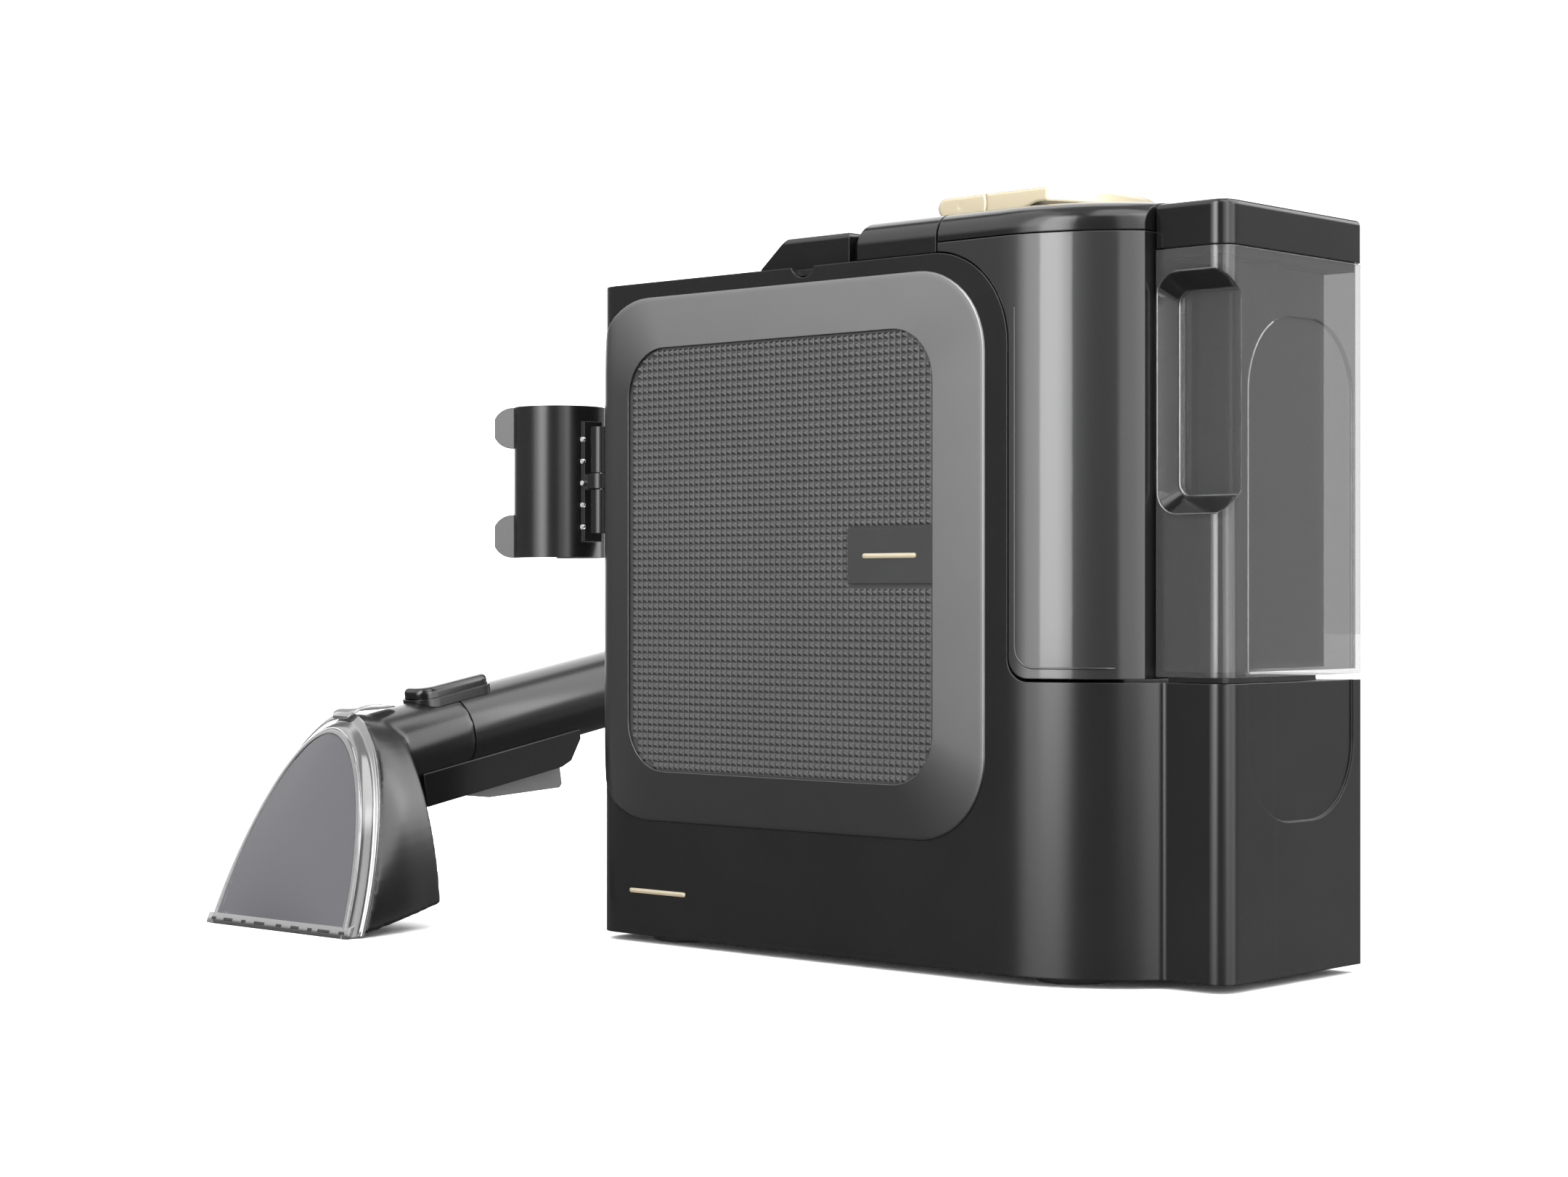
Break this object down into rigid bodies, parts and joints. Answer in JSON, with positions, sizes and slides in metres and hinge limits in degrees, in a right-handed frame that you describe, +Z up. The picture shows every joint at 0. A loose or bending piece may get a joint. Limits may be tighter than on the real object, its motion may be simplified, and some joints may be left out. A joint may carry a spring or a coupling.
{
  "type": "carpet cleaner machine",
  "caption": "Spot carpet cleaner: housing with lift-off clean and dirty water tanks, carry handle, fold-away tool clip and a suction hand tool with a clear nozzle.",
  "frame": {"origin": "on the floor, under the middle of the main housing: the centre of the middle foot's sole", "axes": "+Z up, +X along the housing towards the clean water tank, -Y towards the textured front panel"},
  "size_m": [0.5515, 0.2976, 0.3493],
  "materials": {
    "charcoal_plastic": "satin",
    "black_plastic": "satin",
    "gloss_black": "semi gloss",
    "steel": "satin",
    "foot_rubber": "matte",
    "seal_rubber": "matte",
    "grey_panel": "satin",
    "texture_grey": "satin",
    "badge_dark": "satin",
    "motor_steel": "satin",
    "duct_plastic": "satin",
    "pump_plastic": "satin",
    "boiler_aluminium": "satin",
    "board_green": "satin",
    "filter_media": "matte",
    "impeller_plastic": "satin",
    "button_dark": "semi gloss",
    "smoky_tank": "gloss",
    "cage_plastic": "satin",
    "float_white": "satin",
    "champagne_gold": "satin",
    "clear_tank": "gloss",
    "bottle_smoke": "gloss",
    "bright_nub": "polished",
    "clear_window": "gloss",
    "trigger_grey": "satin"
  },
  "bodies": {
    "machine": {"front_housing": "charcoal_plastic", "rear_housing": "charcoal_plastic", "base_tray": "black_plastic", "tray_screws": "steel", "rubber_feet": "foot_rubber", "tank_bay": "black_plastic", "valve_seat": "black_plastic", "duct_gaskets": "seal_rubber", "top_cover": "black_plastic", "control_pod": "gloss_black", "shoulder_cover": "gloss_black", "front_panel": "grey_panel", "texture_field": "texture_grey", "badge_plate": "badge_dark", "vacuum_motor": "motor_steel", "motor_mount": "seal_rubber", "fan_housing": "black_plastic", "air_duct": "duct_plastic", "water_pump": "pump_plastic", "steam_boiler": "boiler_aluminium", "control_board": "board_green", "exhaust_filter": "filter_media", "hose_socket": "black_plastic", "suction_pipe": "duct_plastic", "cord_gland": "seal_rubber", "clip_mount": "black_plastic", "clip_pin": "steel"},
    "fan_rotor": {"impeller": "impeller_plastic", "motor_shaft": "steel"},
    "power_key": {"power_button": "button_dark"},
    "steam_key": {"steam_button": "button_dark"},
    "dirty_tank": {"dirty_tank_shell": "smoky_tank", "separator_tube": "black_plastic"},
    "dirty_lid": {"dirty_tank_lid": "gloss_black", "lid_seal": "seal_rubber", "float_cage": "cage_plastic", "handle_block": "champagne_gold", "handle_pins": "steel"},
    "float": {"float_ball": "float_white"},
    "handle": {"carry_handle": "champagne_gold"},
    "clean_tank": {"clean_tank_shell": "clear_tank", "valve_body": "black_plastic", "detergent_bottle": "bottle_smoke", "detergent_cap": "black_plastic"},
    "clean_cap": {"clean_tank_cap": "gloss_black", "cap_seal": "seal_rubber"},
    "outlet_valve": {"valve_plunger": "steel"},
    "clip": {"tool_clip": "black_plastic", "clip_nubs": "bright_nub"},
    "hand_tool": {"nozzle_window": "clear_window", "nozzle_body": "black_plastic", "lip_comb": "clear_window", "handle_tube": "black_plastic", "trigger_housing": "gloss_black", "trigger_pin": "steel", "button_base": "black_plastic", "hose_cuff": "seal_rubber", "spray_jet": "steel"},
    "trigger": {"spray_trigger": "trigger_grey"},
    "tool_key": {"release_button": "gloss_black"}
  },
  "joints": [
    {"name": "fan_spin", "type": "hinge", "parent": "machine", "child": "fan_rotor", "pos_m": [-0.095, 0.005, 0.12], "axis": [0, 0, 1], "continuous": true},
    {"name": "power_press", "type": "slide", "parent": "machine", "child": "power_key", "axis": [0, 0, -1], "range_m": [0, 0.0012], "stiffness_N_per_m": 400, "springref_m": -0.001},
    {"name": "steam_press", "type": "slide", "parent": "machine", "child": "steam_key", "axis": [0, 0, -1], "range_m": [0, 0.0012], "stiffness_N_per_m": 400, "springref_m": -0.001},
    {"name": "dirty_tank_lift", "type": "slide", "parent": "machine", "child": "dirty_tank", "axis": [0, 0, 1], "range_m": [0, 0.2]},
    {"name": "dirty_lid_lift", "type": "slide", "parent": "dirty_tank", "child": "dirty_lid", "axis": [0, 0, 1], "range_m": [0, 0.09]},
    {"name": "float_rise", "type": "slide", "parent": "dirty_lid", "child": "float", "axis": [0, 0, 1], "range_m": [0, 0.034]},
    {"name": "handle_raise", "type": "hinge", "parent": "dirty_lid", "child": "handle", "pos_m": [0.042, 0, 0.3448], "axis": [0, -1, 0], "range_deg": [0, 90]},
    {"name": "clean_tank_lift", "type": "slide", "parent": "machine", "child": "clean_tank", "axis": [0, 0, 1], "range_m": [0, 0.2]},
    {"name": "clean_cap_lift", "type": "slide", "parent": "clean_tank", "child": "clean_cap", "axis": [0, 0, 1], "range_m": [0, 0.05]},
    {"name": "valve_open", "type": "slide", "parent": "clean_tank", "child": "outlet_valve", "axis": [0, 0, 1], "range_m": [0, 0.004], "stiffness_N_per_m": 250, "springref_m": -0.002},
    {"name": "clip_fold", "type": "hinge", "parent": "machine", "child": "clip", "pos_m": [-0.189, -0.052, 0.2275], "axis": [0, 0, -1], "range_deg": [0, 45]},
    {"name": "tool_lift", "type": "slide", "parent": "machine", "child": "hand_tool", "axis": [0, 0, 1], "range_m": [0, 0.25]},
    {"name": "trigger_squeeze", "type": "hinge", "parent": "hand_tool", "child": "trigger", "pos_m": [-0.315, -0.04057, 0.07132], "axis": [1, 0, 0], "range_deg": [0, 6], "stiffness_Nm_per_rad": 2, "springref_deg": -2.86},
    {"name": "tool_button_press", "type": "slide", "parent": "hand_tool", "child": "tool_key", "axis": [0, 0.1736, -0.9848], "range_m": [0, 0.0012], "stiffness_N_per_m": 400, "springref_m": -0.001}
  ]
}
